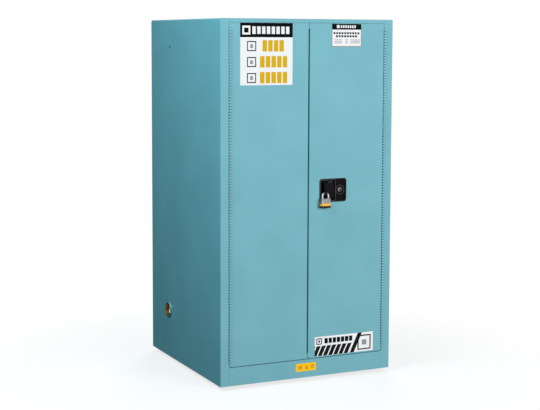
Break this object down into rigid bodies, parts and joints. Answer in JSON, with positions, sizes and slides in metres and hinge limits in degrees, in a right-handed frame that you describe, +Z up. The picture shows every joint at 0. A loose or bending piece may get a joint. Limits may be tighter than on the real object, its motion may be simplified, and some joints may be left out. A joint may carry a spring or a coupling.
{
  "type": "chemical safety cabinet",
  "caption": "Two-door safety cabinet for liquids: double-walled painted steel, sump, shelves, capped vents, levelling feet, recessed paddle latch with rods, lock and padlock.",
  "frame": {"origin": "on the floor, under the middle of the box around the whole object", "axes": "+X to the right seen from the front, +Y from the doors to the back, +Z up"},
  "size_m": [0.878, 0.902, 1.651],
  "materials": {
    "blue_green_paint": "smooth semi-gloss powder coat",
    "galvanised_steel": "spangled zinc",
    "plated_steel": "bright zinc plate",
    "yellow_plated_metal": "satin",
    "chromed_metal": "polished",
    "black_moulding": "fine grain",
    "black_cast_metal": "black satin coat",
    "white_nylon": "smooth",
    "blue_polyethylene": "waxy",
    "laminated_steel": "edges of pressed plates",
    "yellow_vinyl": "glossy"
  },
  "bodies": {
    "cabinet": {"outer_left_side": "blue_green_paint", "outer_right_side": "blue_green_paint", "outer_top": "blue_green_paint", "outer_back": "blue_green_paint", "outer_bottom": "blue_green_paint", "front_sill": "blue_green_paint", "inner_left_side": "blue_green_paint", "inner_right_side": "blue_green_paint", "inner_back": "blue_green_paint", "inner_top": "blue_green_paint", "sump_pan": "blue_green_paint", "wall_channels": "galvanised_steel", "left_vent_sleeve": "yellow_plated_metal", "right_vent_sleeve": "yellow_plated_metal", "vent_flame_screens": "plated_steel", "left_hinge_frame_leaf": "blue_green_paint", "right_hinge_frame_leaf": "blue_green_paint", "hinge_pins": "plated_steel", "shelf_standards": "galvanised_steel", "shelf_brackets": "galvanised_steel", "frame_strikes": "galvanised_steel", "side_plug_button": "black_moulding", "ground_stud": "yellow_plated_metal", "foot_nuts": "galvanised_steel"},
    "left_vent_plug": {"left_vent_plug": "yellow_plated_metal"},
    "right_vent_plug": {"right_vent_plug": "yellow_plated_metal"},
    "foot_front_left": {"foot_front_left": "plated_steel"},
    "foot_front_right": {"foot_front_right": "plated_steel"},
    "foot_back_left": {"foot_back_left": "plated_steel"},
    "foot_back_right": {"foot_back_right": "plated_steel"},
    "upper_shelf": {"upper_shelf": "galvanised_steel"},
    "lower_shelf": {"lower_shelf": "galvanised_steel"},
    "sump_tray": {"sump_tray": "blue_polyethylene"},
    "left_door": {"left_door_outer_skin": "blue_green_paint", "left_door_inner_skin": "blue_green_paint", "left_door_channel": "galvanised_steel", "left_hinge_door_leaf": "blue_green_paint"},
    "left_door_upper_bolt": {"left_door_upper_bolt": "plated_steel"},
    "left_door_lower_bolt": {"left_door_lower_bolt": "plated_steel"},
    "right_door": {"right_door_outer_skin": "blue_green_paint", "right_door_inner_skin": "blue_green_paint", "right_door_channel": "galvanised_steel", "right_hinge_door_leaf": "blue_green_paint", "handle_housing": "black_moulding", "paddle_pin": "plated_steel", "lock_cylinder": "chromed_metal", "latch_backplate": "galvanised_steel", "rod_guides": "white_nylon"},
    "paddle": {"paddle": "black_cast_metal"},
    "latch_disc": {"latch_disc": "galvanised_steel"},
    "upper_latch_rod": {"upper_latch_rod": "galvanised_steel"},
    "lower_latch_rod": {"lower_latch_rod": "galvanised_steel"},
    "centre_bolt": {"centre_bolt": "galvanised_steel"},
    "upper_bullet": {"upper_bullet": "plated_steel"},
    "lower_bullet": {"lower_bullet": "plated_steel"},
    "centre_bullet": {"centre_bullet": "plated_steel"},
    "key_plug": {"key_plug": "chromed_metal"},
    "padlock_shackle": {"padlock_shackle": "chromed_metal"},
    "padlock_body": {"padlock_body": "laminated_steel", "padlock_bumper": "yellow_vinyl"}
  },
  "joints": [
    {"name": "right_door_hinge", "type": "hinge", "parent": "cabinet", "child": "right_door", "pos_m": [0.3882, -0.428, 0.867], "axis": [0, 0, 1], "range_deg": [0, 180]},
    {"name": "left_door_hinge", "type": "hinge", "parent": "cabinet", "child": "left_door", "pos_m": [-0.3882, -0.428, 0.867], "axis": [0, 0, -1], "range_deg": [0, 180]},
    {"name": "paddle_pull", "type": "hinge", "parent": "right_door", "child": "paddle", "pos_m": [0.128, -0.4215, 0.8758], "axis": [0, 0, 1], "range_deg": [0, 35], "stiffness_Nm_per_rad": 0.6, "springref_deg": -17.19},
    {"name": "latch_disc_turn", "type": "hinge", "parent": "right_door", "child": "latch_disc", "pos_m": [0.1226, -0.3975, 0.8935], "axis": [0, -1, 0], "range_deg": [0, 43]},
    {"name": "upper_rod_slide", "type": "slide", "parent": "right_door", "child": "upper_latch_rod", "axis": [0, 0, -1], "range_m": [0, 0.0125]},
    {"name": "lower_rod_slide", "type": "slide", "parent": "right_door", "child": "lower_latch_rod", "axis": [0, 0, 1], "range_m": [0, 0.0125]},
    {"name": "centre_bolt_slide", "type": "slide", "parent": "right_door", "child": "centre_bolt", "axis": [1, 0, 0], "range_m": [0, 0.0125]},
    {"name": "upper_bullet_slide", "type": "slide", "parent": "upper_latch_rod", "child": "upper_bullet", "axis": [0, 0, 1], "range_m": [0, 0.01], "stiffness_N_per_m": 200, "springref_m": 0.012},
    {"name": "lower_bullet_slide", "type": "slide", "parent": "lower_latch_rod", "child": "lower_bullet", "axis": [0, 0, -1], "range_m": [0, 0.01], "stiffness_N_per_m": 200, "springref_m": 0.012},
    {"name": "centre_bullet_slide", "type": "slide", "parent": "centre_bolt", "child": "centre_bullet", "axis": [-1, 0, 0], "range_m": [0, 0.009], "stiffness_N_per_m": 200, "springref_m": 0.011},
    {"name": "key_turn", "type": "hinge", "parent": "right_door", "child": "key_plug", "pos_m": [0.16, -0.425, 0.8765], "axis": [0, 1, 0], "range_deg": [0, 90]},
    {"name": "padlock_swing", "type": "hinge", "parent": "paddle", "child": "padlock_shackle", "pos_m": [0.08, -0.439, 0.8687], "axis": [-1, 0, 0], "range_deg": [0, 60]},
    {"name": "padlock_release", "type": "slide", "parent": "padlock_shackle", "child": "padlock_body", "axis": [0, 0, -1], "range_m": [0, 0.01]},
    {"name": "left_door_upper_bolt_slide", "type": "slide", "parent": "left_door", "child": "left_door_upper_bolt", "axis": [0, 0, 1], "range_m": [0, 0.01]},
    {"name": "left_door_lower_bolt_slide", "type": "slide", "parent": "left_door", "child": "left_door_lower_bolt", "axis": [0, 0, -1], "range_m": [0, 0.01]},
    {"name": "left_vent_plug_unscrew", "type": "slide", "parent": "cabinet", "child": "left_vent_plug", "axis": [-1, 0, 0], "range_m": [0, 0.025]},
    {"name": "right_vent_plug_unscrew", "type": "slide", "parent": "cabinet", "child": "right_vent_plug", "axis": [1, 0, 0], "range_m": [0, 0.025]},
    {"name": "upper_shelf_lift", "type": "slide", "parent": "cabinet", "child": "upper_shelf", "axis": [0, 0, 1], "range_m": [0, 0.03]},
    {"name": "lower_shelf_lift", "type": "slide", "parent": "cabinet", "child": "lower_shelf", "axis": [0, 0, 1], "range_m": [0, 0.03]},
    {"name": "sump_tray_lift", "type": "slide", "parent": "cabinet", "child": "sump_tray", "axis": [0, 0, 1], "range_m": [0, 0.06]},
    {"name": "foot_front_left_screw", "type": "slide", "parent": "cabinet", "child": "foot_front_left", "axis": [0, 0, -1], "range_m": [0, 0.02]},
    {"name": "foot_front_right_screw", "type": "slide", "parent": "cabinet", "child": "foot_front_right", "axis": [0, 0, -1], "range_m": [0, 0.02]},
    {"name": "foot_back_left_screw", "type": "slide", "parent": "cabinet", "child": "foot_back_left", "axis": [0, 0, -1], "range_m": [0, 0.02]},
    {"name": "foot_back_right_screw", "type": "slide", "parent": "cabinet", "child": "foot_back_right", "axis": [0, 0, -1], "range_m": [0, 0.02]}
  ],
  "couplings": [
    {"joint": "latch_disc_turn", "follows": "paddle_pull", "ratio": 1.206},
    {"joint": "upper_rod_slide", "follows": "paddle_pull", "m_per_rad": 0.0198},
    {"joint": "lower_rod_slide", "follows": "paddle_pull", "m_per_rad": 0.0198},
    {"joint": "centre_bolt_slide", "follows": "paddle_pull", "m_per_rad": 0.0198}
  ]
}
